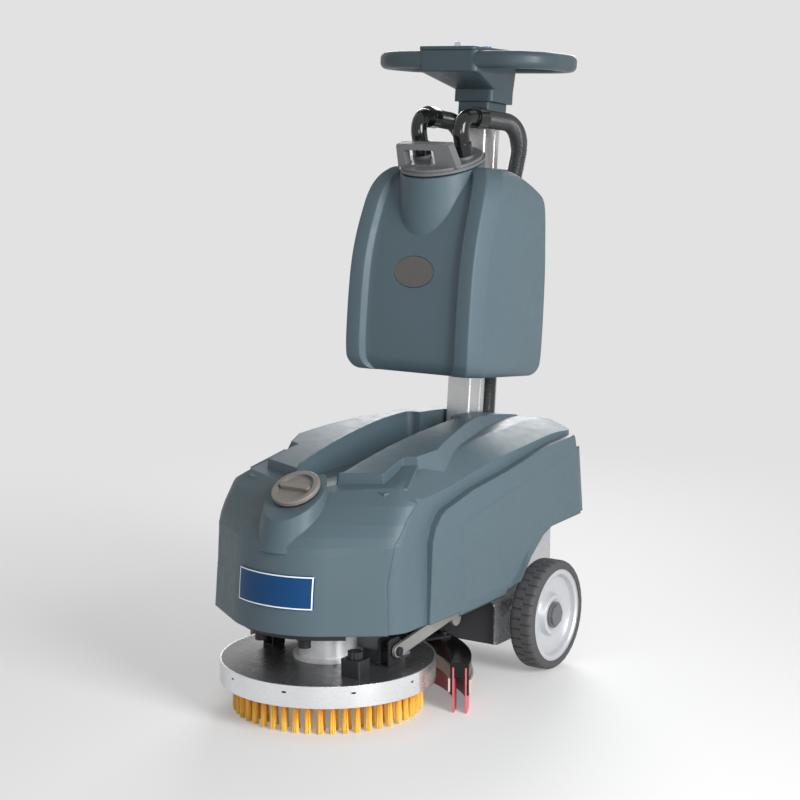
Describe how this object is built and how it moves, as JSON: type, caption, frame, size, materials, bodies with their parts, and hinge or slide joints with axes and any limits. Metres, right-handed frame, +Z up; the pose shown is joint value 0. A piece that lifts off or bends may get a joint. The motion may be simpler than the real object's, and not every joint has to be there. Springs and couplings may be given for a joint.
{
  "type": "walk-behind floor scrubber",
  "caption": "Battery walk-behind floor scrubber: round brush deck under a slate-blue body, recovery tank on a leaning mast, ring handle, squeegee and two rear wheels.",
  "frame": {"origin": "on the floor, under the middle of the machine's bounding box", "axes": "+Z up, the nose points along -Y, the machine's left side is +X"},
  "size_m": [0.4694, 0.7825, 1.129],
  "materials": {
    "body_shell": "satin moulded",
    "filler_gasket": "matt",
    "filler_cap": "warm grey, fine grain",
    "chassis_frame": "powder coat",
    "battery_box": "charcoal grain",
    "battery_pack": "moulded",
    "stub_axles": "turned",
    "tyre_left": "grey rubber",
    "rim_left": "cast",
    "hub_cap_left": "dark",
    "tyre_right": "grey rubber",
    "rim_right": "cast",
    "hub_cap_right": "dark",
    "vacuum_motor": "satin",
    "mast": "extruded",
    "mast_socket": "powder coat",
    "mast_bolts": "zinc",
    "tank_bracket": "powder coat",
    "recovery_tank": "satin moulded",
    "tank_badge": "plain grey",
    "front_badge": "plain blue",
    "tank_lid": "dark grey",
    "lid_gasket": "matt",
    "float_cage": "moulded",
    "float_ball": "hollow ball",
    "suction_elbow": "dark grey",
    "vacuum_elbow": "dark grey",
    "suction_hose": "corrugated",
    "vacuum_hose": "corrugated",
    "neck_sleeve": "moulded",
    "head_lower_cover": "satin moulded",
    "handle_head": "satin moulded",
    "control_panel": "satin moulded",
    "key_switch": "bright",
    "brush_button": "green",
    "water_button": "blue",
    "nose_pan": "powder coat",
    "deck_stops": "matt",
    "deck_plate": "powder coat",
    "deck_rim_band": "bright",
    "brush_motor": "satin",
    "deck_brackets": "zinc",
    "deck_cross_plate": "galvanised",
    "solution_valve": "moulded",
    "squeegee_holder": "gloss black",
    "front_blade": "red rubber",
    "rear_blade": "red rubber",
    "inner_strap": "beige",
    "outer_strap": "beige",
    "squeegee_hangers": "powder coat",
    "squeegee_bellows": "folded",
    "valve_knob": "knurled",
    "drive_hub": "turned",
    "brush_disc": "moulded",
    "brush_bristles": "orange nylon",
    "lift_arms": "warm grey"
  },
  "bodies": {
    "base": {"body_shell": "body_shell", "filler_gasket": "filler_gasket", "chassis_frame": "chassis_frame", "battery_box": "battery_box", "battery_pack": "battery_pack", "stub_axles": "stub_axles", "vacuum_motor": "vacuum_motor", "mast": "mast", "mast_socket": "mast_socket", "mast_bolts": "mast_bolts", "tank_bracket": "tank_bracket", "recovery_tank": "recovery_tank", "tank_badge": "tank_badge", "front_badge": "front_badge", "lid_gasket": "lid_gasket", "suction_hose": "suction_hose", "vacuum_hose": "vacuum_hose", "neck_sleeve": "neck_sleeve", "head_lower_cover": "head_lower_cover", "handle_head": "handle_head", "control_panel": "control_panel", "nose_pan": "nose_pan", "deck_stops": "deck_stops"},
    "filler_cap": {"filler_cap": "filler_cap"},
    "wheel_left": {"tyre_left": "tyre_left", "rim_left": "rim_left", "hub_cap_left": "hub_cap_left"},
    "wheel_right": {"tyre_right": "tyre_right", "rim_right": "rim_right", "hub_cap_right": "hub_cap_right"},
    "lid": {"tank_lid": "tank_lid", "float_cage": "float_cage", "suction_elbow": "suction_elbow", "vacuum_elbow": "vacuum_elbow"},
    "float": {"float_ball": "float_ball"},
    "key": {"key_switch": "key_switch"},
    "brush_button": {"brush_button": "brush_button"},
    "water_button": {"water_button": "water_button"},
    "deck": {"deck_plate": "deck_plate", "deck_rim_band": "deck_rim_band", "brush_motor": "brush_motor", "deck_brackets": "deck_brackets", "deck_cross_plate": "deck_cross_plate", "solution_valve": "solution_valve", "squeegee_holder": "squeegee_holder", "front_blade": "front_blade", "rear_blade": "rear_blade", "inner_strap": "inner_strap", "outer_strap": "outer_strap", "squeegee_hangers": "squeegee_hangers", "squeegee_bellows": "squeegee_bellows"},
    "valve_knob": {"valve_knob": "valve_knob"},
    "brush": {"drive_hub": "drive_hub", "brush_disc": "brush_disc", "brush_bristles": "brush_bristles"},
    "arms": {"lift_arms": "lift_arms"}
  },
  "joints": [
    {"name": "wheel_left_spin", "type": "hinge", "parent": "base", "child": "wheel_left", "pos_m": [0, 0.19475, 0.1], "axis": [1, 0, 0], "continuous": true},
    {"name": "wheel_right_spin", "type": "hinge", "parent": "base", "child": "wheel_right", "pos_m": [0, 0.19475, 0.1], "axis": [1, 0, 0], "continuous": true},
    {"name": "deck_lift", "type": "hinge", "parent": "base", "child": "arms", "pos_m": [0, 0.09775, 0.157], "axis": [-1, 0, 0], "range_deg": [0, 6.4], "deforming": ["squeegee_bellows"]},
    {"name": "deck_level", "type": "hinge", "parent": "arms", "child": "deck", "pos_m": [0, -0.19425, 0.114], "axis": [1, 0, 0], "range_deg": [0, 6.4]},
    {"name": "brush_spin", "type": "hinge", "parent": "deck", "child": "brush", "pos_m": [0, -0.20225, 0.05], "axis": [0, 0, 1], "continuous": true},
    {"name": "valve_turn", "type": "hinge", "parent": "deck", "child": "valve_knob", "pos_m": [0.108, -0.27725, 0.12], "axis": [0, 0, 1], "range_deg": [0, 90]},
    {"name": "lid_lift", "type": "slide", "parent": "base", "child": "lid", "axis": [0, 0, 1], "range_m": [0, 0.012], "deforming": ["suction_hose", "vacuum_hose"]},
    {"name": "float_rise", "type": "slide", "parent": "lid", "child": "float", "axis": [0, -0.2622, 0.965], "range_m": [0, 0.015]},
    {"name": "filler_cap_lift", "type": "slide", "parent": "base", "child": "filler_cap", "axis": [0, -0.5, 0.866], "range_m": [0, 0.06]},
    {"name": "brush_button_press", "type": "slide", "parent": "base", "child": "brush_button", "axis": [0, -0.0523, -0.9986], "range_m": [0, 0.003], "stiffness_N_per_m": 600, "springref_m": -0.001},
    {"name": "water_button_press", "type": "slide", "parent": "base", "child": "water_button", "axis": [0, -0.0523, -0.9986], "range_m": [0, 0.003], "stiffness_N_per_m": 600, "springref_m": -0.001},
    {"name": "key_turn", "type": "hinge", "parent": "base", "child": "key", "pos_m": [-0.036, 0.27333, 1.11179], "axis": [0, 0.0523, 0.9986], "range_deg": [0, 60]}
  ],
  "couplings": [
    {"joint": "deck_level", "follows": "deck_lift", "ratio": 1}
  ]
}
